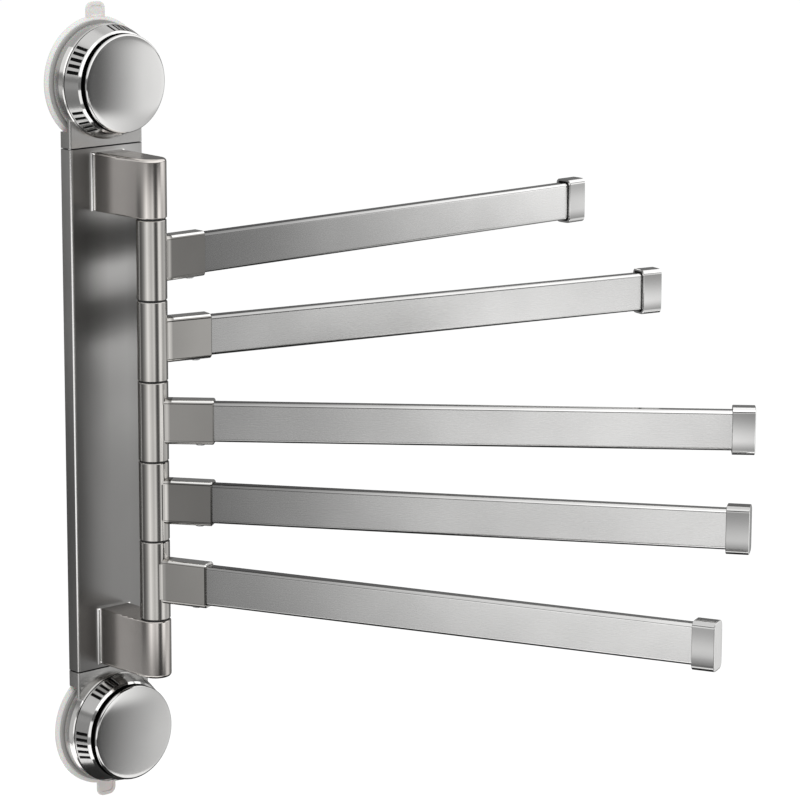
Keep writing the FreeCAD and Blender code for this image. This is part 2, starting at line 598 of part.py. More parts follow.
def make_cap():
    """The end cap, a block with soft edges and a pocket over the bar's end."""
    cap = soft_bar(CAP_START, CAP_END, CAP_THICKNESS, CAP_HEIGHT, CAP_CORNER)
    rims = [edge for edge in cap.Edges if edge.BoundBox.XLength < 0.01]
    cap = cap.makeFillet(CAP_EDGE_ROUND, rims)
    play = 2 * BAR_CLEARANCE
    pocket_end = CAP_END - CAP_END_WALL
    pocket = soft_bar(CAP_START, pocket_end, BAR_THICKNESS + play, BAR_HEIGHT + play, BAR_CORNER)
    return cap.cut(pocket)


def make_bushes():
    """The two nylon bushes of one sleeve."""
    outer = BUSH_RADIUS - BUSH_PRESS
    top = SLEEVE_HEIGHT / 2 - BUSH_SET_IN
    upper = upright(outer, top - BUSH_LENGTH, top, SPINDLE_HOLE)
    lower = upright(outer, -top, -top + BUSH_LENGTH, SPINDLE_HOLE)
    return [upper, lower]


def make_rivet():
    """The rivet up through the underside of socket and bar."""
    bottom = -SOCKET_HEIGHT / 2
    inside = -BAR_HEIGHT / 2 + BAR_WALL
    rivet = upright(RIVET_HEAD_RADIUS, bottom - RIVET_HEAD_HEIGHT, bottom)
    lower_rim = edges_at(rivet, lambda end: abs(end.z - bottom + RIVET_HEAD_HEIGHT) < 0.01)
    rivet = rivet.makeFillet(RIVET_HEAD_ROUND, lower_rim)
    rivet = rivet.fuse(upright(RIVET_RADIUS, bottom, inside))
    rivet = rivet.fuse(upright(RIVET_TAIL_RADIUS, inside, inside + RIVET_TAIL_HEIGHT))
    return moved(rivet.removeSplitter(), RIVET_AT, 0, 0)


def make_thrust_washers():
    """The washers between the sleeves and at both ends of the stack."""
    half = THRUST_WASHER_THICKNESS / 2
    washer = upright(THRUST_WASHER_RADIUS, -half, half, SPINDLE_HOLE)
    heights = [STACK_HALF - n * ARM_PITCH for n in range(ARM_COUNT + 1)]
    return [moved(washer, 0, -SPINDLE_OFF_WALL, MID_HEIGHT + height) for height in heights]


def at_lower_cup(shape):
    return moved(flipped(shape), 0, 0, -CUP_SPACING)


def at_middle(shape):
    return moved(shape, 0, 0, MID_HEIGHT)


def on_arm(shape, number):
    """Sets a piece of an arm at its place on the spindle and swings it to its angle."""
    height = MID_HEIGHT + STACK_HALF - ARM_PITCH * (number + 0.5)
    placed = shape.copy()
    placed.rotate(FreeCAD.Vector(0, 0, 0), FreeCAD.Vector(0, 0, 1), ARM_ANGLES[number])
    return moved(placed, 0, -SPINDLE_OFF_WALL, height)


os.makedirs("parts", exist_ok=True)

# backplate and end housings
save("back_plate", at_middle(make_plate()))
housing = make_housing()
save("upper_end_housing", housing)
save("lower_end_housing", at_lower_cup(housing))

# suction cups, pressure rings, studs and slip washers
for name, shape in (
    ("suction_cup", make_cup()),
    ("pressure_ring", make_pressure_ring()),
    ("cup_stud", make_stud()),
    ("slip_washer", make_slip_washer()),
    ("face_disc", make_face_disc()),
):
    save("upper_" + name, shape)
    save("lower_" + name, at_lower_cup(shape))

# twist knobs, each left at the turn that the photograph shows
save("upper_knob", make_knob(UPPER_GRIP_ANGLE))
save("lower_knob", at_lower_cup(make_knob(LOWER_GRIP_ANGLE)))

# brackets, screws, spindle and washers
bracket = make_bracket()
save("upper_bracket", at_middle(bracket))
save("lower_bracket", at_middle(flipped(bracket)))
screw = make_bracket_screw()
screw_heights = [way * height for way in (1, -1) for height in SCREW_HEIGHTS]
save("bracket_screws", *[moved(screw, 0, 0, MID_HEIGHT + height) for height in screw_heights])
save("spindle", moved(make_spindle(), 0, -SPINDLE_OFF_WALL, MID_HEIGHT))
save("thrust_washers", *make_thrust_washers())

# the five arms, numbered from the top
hub = make_hub()
bar = make_bar()
cap = make_cap()
bushes = make_bushes()
rivet = make_rivet()
for number in range(ARM_COUNT):
    prefix = "arm_" + str(number + 1) + "_"
    save(prefix + "hub", on_arm(hub, number))
    save(prefix + "bar", on_arm(bar, number))
    save(prefix + "cap", on_arm(cap, number))
    save(prefix + "bushes", *[on_arm(bush, number) for bush in bushes])
    save(prefix + "rivet", on_arm(rivet, number))
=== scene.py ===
import math

import bmesh
import bpy
from mathutils import Matrix, Vector


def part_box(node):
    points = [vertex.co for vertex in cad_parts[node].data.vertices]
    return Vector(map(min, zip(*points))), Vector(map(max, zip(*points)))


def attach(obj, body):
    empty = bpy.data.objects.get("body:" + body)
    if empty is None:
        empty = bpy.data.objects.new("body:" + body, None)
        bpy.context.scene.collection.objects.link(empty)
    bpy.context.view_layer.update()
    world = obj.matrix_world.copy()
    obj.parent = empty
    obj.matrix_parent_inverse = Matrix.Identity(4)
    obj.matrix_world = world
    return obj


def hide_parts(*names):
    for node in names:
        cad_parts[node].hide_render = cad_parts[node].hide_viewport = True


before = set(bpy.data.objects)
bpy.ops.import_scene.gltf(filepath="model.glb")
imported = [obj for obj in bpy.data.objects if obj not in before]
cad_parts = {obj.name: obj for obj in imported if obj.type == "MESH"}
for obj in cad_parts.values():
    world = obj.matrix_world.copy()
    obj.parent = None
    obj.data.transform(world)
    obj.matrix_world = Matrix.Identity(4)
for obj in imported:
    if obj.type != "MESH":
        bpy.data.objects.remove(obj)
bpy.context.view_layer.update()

# ---------------------------------------------------------------- backplate
# A channel folded from stainless sheet, its long face ground lengthwise and tinted dark.
# Its folded sides and returns face the wall, and the brackets are screwed on from behind.
SPINDLE_OFFSET = 0.0536  # from the wall to the axis that the arms turn on
STREAK_ACROSS, STREAK_ALONG = 4200.0, 60.0  # how fine the streaks are across the grain and along it
STREAK_SHADES, STREAK_DULLING = (0.99, 1.0), 0.02  # what the streaks do to colour and roughness
CLOUD_SCALE, CLOUD_SHADES = 26.0, (0.97, 1.03)
SCRATCH_DEPTH = 0.0002
SOFT_LINE = 0.0003  # over which one finish goes over into the next
CORNER_POLISH = 0.35  # how much of its roughness a bar keeps on its rounded corners


def add(tree, kind, **settings):
    """A shader node with its plain settings, set out in rows in the order of making."""
    row, column = divmod(len(tree.nodes), 8)
    node = tree.nodes.new(kind)
    node.location = (220 * column - 1900, 600 - 320 * row)
    for name, value in settings.items():
        setattr(node, name, value)
    return node


def ramp(tree, value, stops, soft="EASE"):
    """A number made into a colour through (place, grey or colour) stops."""
    node = add(tree, "ShaderNodeValToRGB")
    node.color_ramp.interpolation = soft
    marks = node.color_ramp.elements
    while len(marks) < len(stops):
        marks.new(0.5)
    for mark, (place, shade) in zip(marks, stops):
        mark.position = place
        shade = (shade, shade, shade) if isinstance(shade, float) else shade
        mark.color = (*shade, 1.0)
    tree.links.new(value, node.inputs["Fac"])
    return node.outputs["Color"]


def noise(tree, point, scale, detail=2.0):
    """Blotches from 0 to 1."""
    node = add(tree, "ShaderNodeTexNoise")
    node.inputs["Scale"].default_value = scale
    node.inputs["Detail"].default_value = detail
    tree.links.new(point, node.inputs["Vector"])
    return node.outputs["Fac"]


def rescale(tree, value, source, target=(0.0, 1.0), way="LINEAR"):
    """A number carried from one range to another, and held at its ends."""
    node = add(tree, "ShaderNodeMapRange", interpolation_type=way)
    for socket, number in zip(("From Min", "From Max", "To Min", "To Max"), (*source, *target)):
        node.inputs[socket].default_value = number
    tree.links.new(value, node.inputs["Value"])
    return node.outputs["Result"]


def between(tree, value, low, high):
    """A mask that rises smoothly from 0 to 1 while the value goes from low to high."""
    return rescale(tree, value, (low, high), way="SMOOTHSTEP")


def combine(tree, first, second, operation="MULTIPLY"):
    """Two numbers joined, as their product unless another operation is named."""
    joined = add(tree, "ShaderNodeMath", operation=operation)
    for socket, value in zip(joined.inputs, (first, second)):
        if isinstance(value, float):
            socket.default_value = value
        else:
            tree.links.new(value, socket)
    return joined.outputs[0]


def opposite(tree, mask):
    """1 where the mask is 0, and 0 where it is 1."""
    return combine(tree, 1.0, mask, "SUBTRACT")


def away_from(tree, value, middle):
    """How far a number lies from a middle, on either side of it."""
    return combine(tree, combine(tree, value, middle, "SUBTRACT"), 0.0, "ABSOLUTE")


def blend(tree, first, second):
    """One colour darkened by another."""
    node = add(tree, "ShaderNodeMix", data_type="RGBA", blend_type="MULTIPLY")
    node.inputs["Factor"].default_value = 1.0
    tree.links.new(first, node.inputs["A"])
    tree.links.new(second, node.inputs["B"])
    return node.outputs["Result"]


def axes(tree, point=None):
    """The X, Y and Z of a point, which is a surface's own place in the rack unless one is given."""
    if point is None:
        point = add(tree, "ShaderNodeTexCoord").outputs["Object"]
    split = add(tree, "ShaderNodeSeparateXYZ")
    tree.links.new(point, split.inputs["Vector"])
    return split.outputs["X"], split.outputs["Y"], split.outputs["Z"]


def arm_point(tree, turn):
    """A surface's place counted from the spindle, with an arm at this angle swung back to X."""
    swung = add(tree, "ShaderNodeMapping")
    swung.inputs["Rotation"].default_value = (0, 0, -turn)
    swung.inputs["Location"].default_value = (
        SPINDLE_OFFSET * math.sin(turn), SPINDLE_OFFSET * math.cos(turn), 0)
    tree.links.new(add(tree, "ShaderNodeTexCoord").outputs["Object"], swung.inputs["Vector"])
    return swung.outputs["Vector"]


def new_material(name):
    """A material with its node tree and its shader."""
    material = bpy.data.materials.new(name)
    material.use_nodes = True
    return material, material.node_tree, material.node_tree.nodes["Principled BSDF"]


def roughen(tree, shader, height, strength):
    """Scratches or specks too small to be formed."""
    bump = add(tree, "ShaderNodeBump")
    bump.inputs["Strength"].default_value = strength
    bump.inputs["Distance"].default_value = SCRATCH_DEPTH
    tree.links.new(height, bump.inputs["Height"])
    tree.links.new(bump.outputs["Normal"], shader.inputs["Normal"])


def ground_metal(name, colour, roughness, grain, turn=0.0, painted_shade=None, scratch=0.06, corners=None):
    """Ground metal: fine streaks along the grain, a cloudy tone and a slight dulling in patches.

    grain is the axis that the grinding ran along and turn the angle of an arm. The shade ramp,
    where one is given, paints light and shade into the colour: where along the arm it begins and
    ends, in metres, and its (place, grey) stops. corners is the middle height of a bar and half the
    height of its ground side, past which it is polished."""
    material, tree, shader = new_material(name)
    shader.inputs["Metallic"].default_value = 1.0
    point = arm_point(tree, turn)
    streak_scale = [STREAK_ACROSS] * 3
    streak_scale["XYZ".index(grain)] = STREAK_ALONG
    stretched = add(tree, "ShaderNodeMapping")
    stretched.inputs["Scale"].default_value = streak_scale
    tree.links.new(point, stretched.inputs["Vector"])
    streaks = noise(tree, stretched.outputs["Vector"], 1.0, 3.0)
    darker, lighter = (tuple(min(1, share * part) for part in colour) for share in CLOUD_SHADES)
    clouds = ramp(tree, noise(tree, point, CLOUD_SCALE), [(0.3, darker), (0.7, lighter)])
    surface = blend(tree, clouds, ramp(tree, streaks, list(zip((0.3, 0.7), STREAK_SHADES))))
    if painted_shade:
        start, end, stops = painted_shade
        along = rescale(tree, axes(tree, point)[0], (start, end))
        surface = blend(tree, surface, ramp(tree, along, stops, "LINEAR"))
    tree.links.new(surface, shader.inputs["Base Color"])
    dull = rescale(tree, streaks, (0.0, 1.0), (roughness - STREAK_DULLING, roughness + STREAK_DULLING))
    if corners:
        middle, half = corners
        reach = away_from(tree, axes(tree)[2], middle)
        ground_side = (half - SOFT_LINE, half + SOFT_LINE)
        dull = combine(tree, dull, rescale(tree, reach, ground_side, (1.0, CORNER_POLISH)))
    tree.links.new(dull, shader.inputs["Roughness"])
    roughen(tree, shader, streaks, scratch)
    return material


def rework(material, mask, colour, roughness):
    """Gives a metal another colour and roughness where the mask is 1."""
    tree = material.node_tree
    shader = tree.nodes["Principled BSDF"]
    for socket, kind, value in (("Base Color", "RGBA", (*colour, 1.0)), ("Roughness", "FLOAT", roughness)):
        mixed = add(tree, "ShaderNodeMix", data_type=kind)
        tree.links.new(mask, mixed.inputs["Factor"])
        tree.links.new(shader.inputs[socket].links[0].from_socket, mixed.inputs["A"])
        mixed.inputs["B"].default_value = value
        tree.links.new(mixed.outputs["Result"], shader.inputs[socket])


def dress(material, *names):
    """Gives CAD nodes their finish."""
    for name in names:
        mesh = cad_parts[name].data
        mesh.materials.clear()
        mesh.materials.append(material)


# The second colour here is painted shade, which darkens the plate's lower part.
TINTED_STEEL, LOWER_PAINTED_SHADE = (0.58, 0.575, 0.565), (0.2, 0.197, 0.193)
# A near-white painted highlight for rounded edges, and a near-black painted shade for the seams.
PAINTED_EDGE_HIGHLIGHT, SEAM_PAINTED_SHADE = (0.95, 0.94, 0.92), (0.03, 0.03, 0.03)
EDGE_ASIDE, EDGE_OFF_WALL = (0.0267, 0.0271), (0.0094, 0.0098)  # where the long edges are rounded
SEAM, SEAM_SHADE_INNER, SEAM_SHADE_OUTER = 0.0005, 0.0001, 0.0003  # its gap, and how far the painted shade spreads
PLATE_HALF_WIDTH = 0.0278
PLATE_PAINTED_SHADE = [(0.02, 0.9), (0.04, 0.42), (0.2, 0.5), (0.5, 0.95), (0.75, 1.0), (1.0, 0.8)]
LOWER_SHADE_FROM, LOWER_SHADE_TO, LOWER_SHADE_SHARE = 0.14, 0.27, 0.75  # down from the upper cup


def paint_edge_highlights_and_seam_shade(material):
    """Paints a highlight on the plate's and the housings' long front edges, and paints shade in the seams
    at their ends.
    """
    tree = material.node_tree
    x, y, z = axes(tree)
    aside = away_from(tree, x, 0.0)
    off_wall = combine(tree, y, -1.0)
    edge = combine(tree, between(tree, aside, *EDGE_ASIDE), between(tree, off_wall, *EDGE_OFF_WALL))
    rework(material, edge, PAINTED_EDGE_HIGHLIGHT, roughness=0.15)
    low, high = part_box("back_plate")
    middle, half = (low[2] + high[2]) / 2, (high[2] - low[2]) / 2
    reach = away_from(tree, z, middle)
    seam_shade_start = between(tree, reach, half - SEAM_SHADE_OUTER, half - SEAM_SHADE_INNER)
    seam_shade_stop = between(tree, reach, half + SEAM + SEAM_SHADE_INNER, half + SEAM + SEAM_SHADE_OUTER)
    # Painted shade: a near-black band across the seam between the plate and each housing.
    rework(material, combine(tree, seam_shade_start, opposite(tree, seam_shade_stop)), SEAM_PAINTED_SHADE, roughness=0.5)


# Painted shade across the plate's width: lighter at its left edge, darkest just inside it, and lighter
# again from the middle rightwards.
plate_painted_shade = (-PLATE_HALF_WIDTH, PLATE_HALF_WIDTH, PLATE_PAINTED_SHADE)
plate_metal = ground_metal(
    "plate_metal", TINTED_STEEL, roughness=0.3, grain="Z", painted_shade=plate_painted_shade, scratch=0.03)
tree = plate_metal.node_tree
# Painted shade: the plate is painted darker from 0.14 m to 0.27 m below the upper cup and on downwards.
down = combine(tree, axes(tree)[2], -1.0)
lower_painted_shade = combine(tree, between(tree, down, LOWER_SHADE_FROM, LOWER_SHADE_TO), LOWER_SHADE_SHARE)
rework(plate_metal, lower_painted_shade, LOWER_PAINTED_SHADE, roughness=0.3)
# Painted highlight on the plate's long front edges and painted shade in its end seams.
paint_edge_highlights_and_seam_shade(plate_metal)
dress(plate_metal, "back_plate")

# ---------------------------------------------------------------- brackets, screws and spindle
# Two zinc castings, polished round the nose and satin on their flanks, on thin flanges that
# carry a painted highlight. Painted shade darkens each neck towards its flange. Two zinc-plated
# screws hold each one from behind the plate, and the spindle, a plain steel rod, sits in a bore in both.
CAST_ZINC, FLANGE_PAINTED_HIGHLIGHT, ZINC_PLATE = (0.67, 0.635, 0.605), (0.97, 0.96, 0.945), (0.55, 0.56, 0.57)
NECK_LENGTH = 0.0431
NOSE_FROM, NOSE_TO = 0.0500, 0.0540
FLANGE_FRONT = 0.0128
# Painted shade along the neck: full colour near the nose, darker towards the flange.
casting_painted_shade = (0.0, NECK_LENGTH, [(0.0, 1.0), (0.6, 1.0), (0.95, 0.4)])
casting_metal = ground_metal(
    "casting_metal", CAST_ZINC, roughness=0.24, grain="Z", turn=math.radians(90), painted_shade=casting_painted_shade,
    scratch=0.01)
tree = casting_metal.node_tree
off_wall = combine(tree, axes(tree)[1], -1.0)
rework(casting_metal, between(tree, off_wall, NOSE_FROM, NOSE_TO), CAST_ZINC, roughness=0.1)
# Painted highlight: the flange is painted near white.
past_flange = between(tree, off_wall, FLANGE_FRONT, FLANGE_FRONT + SOFT_LINE)
rework(casting_metal, opposite(tree, past_flange), FLANGE_PAINTED_HIGHLIGHT, roughness=0.12)
dress(casting_metal, "upper_bracket", "lower_bracket")
screw_metal = ground_metal("screw_metal", ZINC_PLATE, roughness=0.3, grain="Y", scratch=0.02)
dress(screw_metal, "bracket_screws", "spindle", "upper_cup_stud", "lower_cup_stud")

# ---------------------------------------------------------------- end housings
# Moulded in ABS and metallised to match the plate, they push over its ends and carry the
# knobs' rings. The tongue behind each one is caught under the bracket's screws.
METALLISED = (0.5, 0.495, 0.485)
housing_metal = ground_metal("housing_metal", METALLISED, roughness=0.25, grain="Z", scratch=0.02)
# Painted highlight on the housings' long front edges and painted shade in their seams.
paint_edge_highlights_and_seam_shade(housing_metal)
dress(housing_metal, "upper_end_housing", "lower_end_housing")

# ---------------------------------------------------------------- suction cups
# Soft milky PVC discs, moulded in one with a pull tab. A threaded stud in the middle of each
# draws it hollow, and its rim is pressed on the wall by the ring and the housing.
MILKY_PVC = (0.88, 0.87, 0.85)
BLOTCH_SCALE, BLOTCH_SHADE, BLOTCH_DULLING = 45.0, 0.95, 0.05
ORANGE_PEEL = 0.08


def soft_plastic(name, colour, roughness, speck, settings=None):
    """Moulded plastic with a faint orange-peel skin. settings go to the shader's own sockets."""
    material, tree, shader = new_material(name)
    point = add(tree, "ShaderNodeTexCoord").outputs["Object"]
    blotches = noise(tree, point, BLOTCH_SCALE)
    darker = tuple(part * BLOTCH_SHADE for part in colour)
    tree.links.new(ramp(tree, blotches, [(0.35, darker), (0.65, colour)]), shader.inputs["Base Color"])
    dull = rescale(tree, blotches, (0.0, 1.0), (roughness - BLOTCH_DULLING, roughness + BLOTCH_DULLING))
    tree.links.new(dull, shader.inputs["Roughness"])
    roughen(tree, shader, noise(tree, point, speck), ORANGE_PEEL)
    for socket, value in (settings or {}).items():
        shader.inputs[socket].default_value = value
    return material


milkiness = {"Subsurface Weight": 0.35, "Subsurface Scale": 0.004}
cup_plastic = soft_plastic("cup_plastic", MILKY_PVC, roughness=0.35, speck=900.0, settings=milkiness)
dress(cup_plastic, "upper_suction_cup", "lower_suction_cup")

# ---------------------------------------------------------------- pressure rings
# Rings moulded in grey ABS, one between each cup and its housing. They pass the housing's
# thrust on to the cup's rim.
RING_GREY = (0.42, 0.415, 0.405)
ring_plastic = soft_plastic("ring_plastic", RING_GREY, roughness=0.4, speck=1400.0)
dress(ring_plastic, "upper_pressure_ring", "lower_pressure_ring")

# ---------------------------------------------------------------- washers and bushes
# Black nylon: slip washers behind the knobs, thrust washers between the sleeves, and two
# bushes pressed into each sleeve, which turn on the spindle.
NYLON_BLACK = (0.02, 0.02, 0.02)
nylon = soft_plastic("nylon", NYLON_BLACK, roughness=0.5, speck=1600.0)
dress(nylon, "upper_slip_washer", "lower_slip_washer", "thrust_washers")
dress(nylon, *["arm_%d_bushes" % number for number in range(1, 6)])

# ---------------------------------------------------------------- twist knobs
# Moulded in ABS and chromed, satin on the gripped cone and polished on the lip round its front,
# which also has a painted highlight. The grip grooves and the front behind the disc are painted
# black as painted shade. Each is screwed on its cup's stud.
SATIN_CHROME, LIP_PAINTED_HIGHLIGHT = (0.62, 0.615, 0.605), (0.92, 0.915, 0.905)
# Painted shade for the grip grooves and for the knob's front behind the disc.
GROOVE_PAINTED_SHADE = (0.012, 0.012, 0.012)
KNOB_BACK_RADIUS, KNOB_BACK, KNOB_SLOPE = 0.0348, 0.0151, 0.344
KNOB_LIP_BACK, KNOB_FRONT = 0.0244, 0.0256
GROOVE_DEPTH = 0.00075
GROOVE_SHADE_FROM, GROOVE_SHADE_TO = 0.6, 0.2  # shares of the grooves' depth
FRONT_SHADE_FROM, FRONT_SHADE_TO = 0.0001, 0.00005  # behind the knob's front
CUP_SPACING = 0.4092  # the lower cup is this far below the upper one


def knob_finish(name, height):
    """Satin chrome with painted shade in the grip grooves and on the front behind the disc, and a painted
    highlight on its polished lip.
    """
    material = ground_metal(name, SATIN_CHROME, roughness=0.17, grain="Y", scratch=0.01)
    tree = material.node_tree
    x, y, z = axes(tree)
    off_wall = combine(tree, y, -1.0)
    across = combine(tree, x, 2.0, "POWER")
    upward = combine(tree, combine(tree, z, height, "SUBTRACT"), 2.0, "POWER")
    radius = combine(tree, combine(tree, across, upward, "ADD"), 0.5, "POWER")
    cone = combine(tree, radius, combine(tree, off_wall, KNOB_SLOPE), "ADD")
    skin = KNOB_BACK_RADIUS + KNOB_BACK * KNOB_SLOPE
    groove_shade_start = skin - GROOVE_SHADE_FROM * GROOVE_DEPTH
    groove_shade_end = skin - GROOVE_SHADE_TO * GROOVE_DEPTH
    groove_shade = opposite(tree, between(tree, cone, groove_shade_start, groove_shade_end))
    lip_highlight = between(tree, off_wall, KNOB_LIP_BACK - SOFT_LINE, KNOB_LIP_BACK)
    # Painted highlight on the polished lip, which is painted brighter than the rest of the chrome.
    rework(material, lip_highlight, LIP_PAINTED_HIGHLIGHT, roughness=0.08)
    groove_shade_off_lip = combine(tree, groove_shade, opposite(tree, lip_highlight))
    front_shade = between(tree, off_wall, KNOB_FRONT - FRONT_SHADE_FROM, KNOB_FRONT - FRONT_SHADE_TO)
    # Painted shade: the grip grooves and the front behind the disc are painted near black.
    rework(material, combine(tree, groove_shade_off_lip, front_shade, "MAXIMUM"), GROOVE_PAINTED_SHADE, roughness=0.5)
    return material


for end, height in (("upper", 0.0), ("lower", -CUP_SPACING)):
    dress(knob_finish(end + "_knob_metal", height), end + "_knob")

# ---------------------------------------------------------------- face discs
# Turned discs with a shallow dome, chromed bright, one in front of each knob. The spigot
# behind each is pushed into the knob, and the spigot and the rim's underside are painted black
# as painted shade in the gap under the rim.
DISC_RIM, DISC_DOME_RIM, DISC_SPIGOT = 0.0302, 0.0289, 0.0276
DISC_FOOT, DISC_BACK, DISC_EDGE, DISC_TOP = 0.0256, 0.0294, 0.0297, 0.0318
DISC_BEVEL, DISC_DOME = 0.0003, 0.0008
DISC_TURNS, DISC_ROUND_STEPS, DISC_DOME_STEPS = 120, 8, 12
DISC_SHARP_ANGLE = 40
BRIGHT_CHROME, GAP_PAINTED_SHADE = (0.72, 0.715, 0.705), (0.015, 0.015, 0.015)
disc_metal = ground_metal("disc_metal", BRIGHT_CHROME, roughness=0.07, grain="X", scratch=0.0)
# Painted shade: the spigot and the underside of the rim are painted near black.
disc_underside_shade = soft_plastic(
    "disc_underside_shade", GAP_PAINTED_SHADE, roughness=0.5, speck=1200.0, settings={"Specular IOR Level": 0.1})


def skin_rings(shape, rings, tip, finish_of):
    """Joins rings of corners with bands of faces, and the last ring with its tip.

    finish_of gives the number of a band's material."""
    corners = len(rings[0])
    for band, (inner, outer) in enumerate(zip(rings, rings[1:])):
        for step in range(corners):
            after = (step + 1) % corners
            face = shape.faces.new((inner[step], inner[after], outer[after], outer[step]))
            face.material_index = finish_of(band)
    last, point = rings[-1], shape.verts.new(tip)
    for step in range(corners):
        face = shape.faces.new((last[step], last[(step + 1) % corners], point))
        face.material_index = finish_of(len(rings) - 1)


def finish_piece(name, shape, sharp_angle, *materials):
    """Smooths a formed shape but for its sharp edges, and puts it in the scene."""
    for face in shape.faces:
        face.smooth = True
    mesh = bpy.data.meshes.new(name)
    shape.to_mesh(mesh)
    shape.free()
    mesh.set_sharp_from_angle(angle=math.radians(sharp_angle))
    piece = bpy.data.objects.new(name, mesh)
    bpy.context.scene.collection.objects.link(piece)
    for material in materials:
        piece.data.materials.append(material)
    return piece


def middle_height(box):
    """The height of the middle of a CAD node's box."""
    low, high = box
    return (low[2] + high[2]) / 2


def turned_disc(name, height):
    """A domed disc turned about the knob's axis, from (radius, distance from the wall) pairs."""
    outline = [(DISC_SPIGOT, DISC_FOOT), (DISC_SPIGOT, DISC_BACK), (DISC_RIM - DISC_BEVEL, DISC_BACK)]
    under_rim = len(outline)
    outline.append((DISC_RIM, DISC_BACK + DISC_BEVEL))
    round_over = DISC_RIM - DISC_DOME_RIM
    for step in range(DISC_ROUND_STEPS + 1):
        bend = math.radians(90 * step / DISC_ROUND_STEPS)
        out, up = round_over * math.cos(bend), round_over * math.sin(bend)
        outline.append((DISC_DOME_RIM + out, DISC_EDGE + up))
    for step in range(1, DISC_DOME_STEPS):
        radius = DISC_DOME_RIM * (1 - step / DISC_DOME_STEPS)
        outline.append((radius, DISC_TOP - DISC_DOME * (radius / DISC_DOME_RIM) ** 2))
    shape = bmesh.new()
    angles = [2 * math.pi * turn / DISC_TURNS for turn in range(DISC_TURNS)]
    rings = [
        [shape.verts.new((radius * math.cos(angle), -depth, height + radius * math.sin(angle)))
         for angle in angles]
        for radius, depth in outline
    ]
    skin_rings(shape, rings, (0, -DISC_TOP, height), lambda band: 1 if band < under_rim else 0)
    bmesh.ops.recalc_face_normals(shape, faces=shape.faces)
    return finish_piece(name, shape, DISC_SHARP_ANGLE, disc_metal, disc_underside_shade)


for end in ("upper", "lower"):
    face_disc = turned_disc(end + "_domed_disc", middle_height(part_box(end + "_face_disc")))
    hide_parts(end + "_face_disc")
    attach(face_disc, end + "_knob_body")

# ---------------------------------------------------------------- arm hubs
# Five zinc castings, each a sleeve that turns on the spindle with a socket for its bar. The
# sleeve is polished, and each socket has a painted shade of its own and painted highlights on its edges.
HUB_METAL = (0.53, 0.515, 0.492)
HUB_LENGTH = 0.04
SLEEVE_SHARE, SOCKET_SHARE = 0.235, 0.275  # of the hub's length: the sleeve's end, the socket's start
SOCKET_EDGE_UP, SOCKET_EDGE_ALONG = (0.0124, 0.0130), (0.0118, 0.0122)
ARM_ANGLES = (0.4, -12.6, -45.7, -53.4, -66.2)
SOCKET_PAINTED_SHADES = (0.38, 0.54, 0.5, 0.22, 0.7)
for number, (angle, socket_shade) in enumerate(zip(ARM_ANGLES, SOCKET_PAINTED_SHADES), 1):
    prefix = "arm_%d_" % number
    turn = math.radians(angle)
    # Painted shade: each socket is painted darker than its sleeve, by an amount of its own.
    stops = [(0.0, 1.0), (SLEEVE_SHARE, 1.0), (SOCKET_SHARE, socket_shade), (1.0, socket_shade)]
    hub_painted_shade = (0.0, HUB_LENGTH, stops)
    hub_metal = ground_metal(
        prefix + "hub_metal", HUB_METAL, roughness=0.1, grain="Z", turn=turn, painted_shade=hub_painted_shade, scratch=0.005)
    tree = hub_metal.node_tree
    along, _, up = axes(tree, arm_point(tree, turn))
    reach = away_from(tree, up, middle_height(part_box(prefix + "bar")))
    edge = combine(tree, between(tree, reach, *SOCKET_EDGE_UP), between(tree, along, *SOCKET_EDGE_ALONG))
    # Painted highlight on the socket's upper and lower edges.
    rework(hub_metal, edge, PAINTED_EDGE_HIGHLIGHT, roughness=0.12)
    dress(hub_metal, prefix + "hub")

# ---------------------------------------------------------------- bars and rivets
# Rectangular tubes of stainless steel, ground along their length and polished on their
# rounded corners, with painted shade that makes each darker at its root and lighter towards its
# tip. Each is held in its socket by an aluminium rivet from below.
BAR_STEEL, RIVET_METAL = (0.97, 0.965, 0.955), (0.6, 0.6, 0.6)
BAR_SHADE_FROM, BAR_SHADE_TO = 0.04, 0.36
GROUND_HALF_HEIGHT = 0.0104
# Painted shade along each bar, from dark at its root to light at its tip.
BAR_PAINTED_SHADES = (  # at each bar's root, its middle and its tip
    (0.21, 0.57, 0.94), (0.43, 0.66, 0.84), (0.35, 0.72, 1.0), (0.16, 0.62, 0.92), (0.35, 0.64, 0.82))
for number, (angle, (root, middle, tip)) in enumerate(zip(ARM_ANGLES, BAR_PAINTED_SHADES), 1):
    prefix = "arm_%d_" % number
    turn = math.radians(angle)
    near_root, near_tip = 0.75 * root + 0.25 * middle, (middle + tip) / 2
    stops = [(0.0, root), (0.16, near_root), (0.44, middle), (0.68, near_tip), (1.0, tip)]
    bar_metal = ground_metal(
        prefix + "bar_metal", BAR_STEEL, roughness=0.27, grain="X", turn=turn,
        painted_shade=(BAR_SHADE_FROM, BAR_SHADE_TO, stops), scratch=0.012,
        corners=(middle_height(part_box(prefix + "bar")), GROUND_HALF_HEIGHT))
    dress(bar_metal, prefix + "bar")
    rivet_metal = ground_metal(prefix + "rivet_metal", RIVET_METAL, roughness=0.3, grain="Z", turn=turn)
    dress(rivet_metal, prefix + "rivet")

